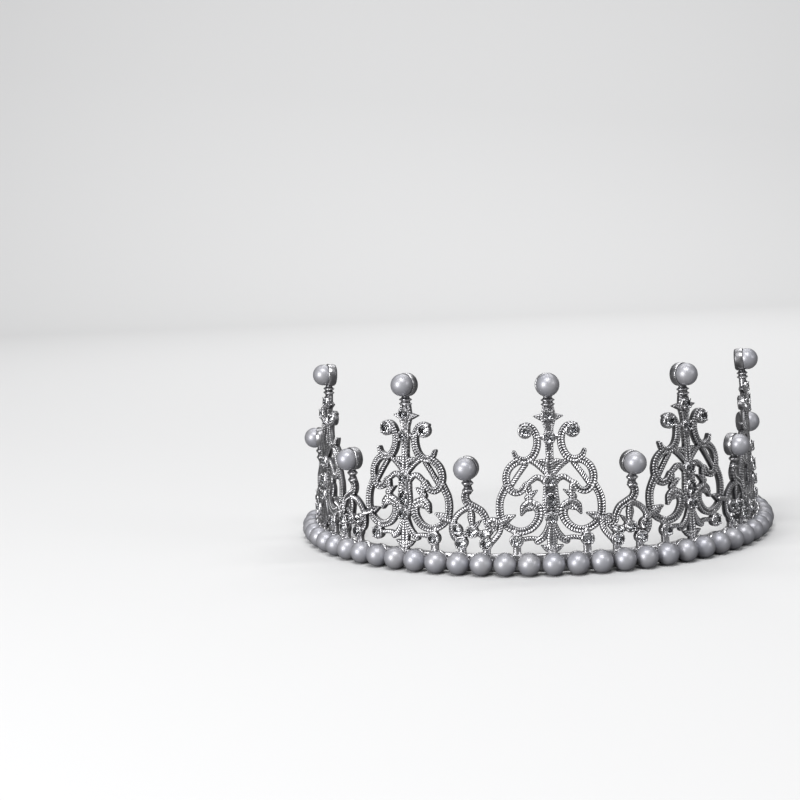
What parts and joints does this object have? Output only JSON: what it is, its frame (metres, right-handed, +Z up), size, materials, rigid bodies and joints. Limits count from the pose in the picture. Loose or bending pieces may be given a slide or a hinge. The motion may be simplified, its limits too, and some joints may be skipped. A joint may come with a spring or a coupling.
{
  "type": "open bridal crown",
  "caption": "Open curved crown: a rail of imitation pearls carries tall filigree panels and small scrolls with rhinestones and pearl tips; ring eyes at its ends take a tie.",
  "frame": {"origin": "on the surface the crown stands on, midway across its width and midway from the middle pearl's face to the back edge of the ring eyes", "axes": "+Z up, +X to the crown's left side as its wearer has it when -Y is the front, +Y towards the open back"},
  "size_m": [0.1624, 0.0994, 0.0611],
  "materials": {
    "antique_silver": "antiqued silver plating over cast metal, bright on the raised ropes and dark in the recesses",
    "pearl": "grey-lavender imitation pearl lacquer with a soft satin lustre",
    "rhinestone": "clear foil-backed cut glass"
  },
  "bodies": {
    "root": {"pearl_rail": "antique_silver", "left_end_eye": "antique_silver", "right_end_eye": "antique_silver", "rail_pearls_1": "pearl", "rail_pearls_2": "pearl", "rail_pearls_3": "pearl", "rail_pearls_4": "pearl", "rail_pearls_5": "pearl", "rail_pearls_6": "pearl", "rail_pearls_7": "pearl", "panel_1": "antique_silver", "panel_2": "antique_silver", "panel_3": "antique_silver", "panel_4": "antique_silver", "panel_5": "antique_silver", "panel_pearl_1": "pearl", "panel_pearl_2": "pearl", "panel_pearl_3": "pearl", "panel_pearl_4": "pearl", "panel_pearl_5": "pearl", "panel_stones_1": "rhinestone", "panel_stones_2": "rhinestone", "panel_stones_3": "rhinestone", "panel_stones_4": "rhinestone", "panel_stones_5": "rhinestone", "scroll_1": "antique_silver", "scroll_2": "antique_silver", "scroll_3": "antique_silver", "scroll_4": "antique_silver", "scroll_5": "antique_silver", "scroll_6": "antique_silver", "scroll_pearl_1": "pearl", "scroll_pearl_2": "pearl", "scroll_pearl_3": "pearl", "scroll_pearl_4": "pearl", "scroll_pearl_5": "pearl", "scroll_pearl_6": "pearl", "scroll_stones_1": "rhinestone", "scroll_stones_2": "rhinestone", "scroll_stones_3": "rhinestone", "scroll_stones_4": "rhinestone", "scroll_stones_5": "rhinestone", "scroll_stones_6": "rhinestone"}
  },
  "joints": []
}
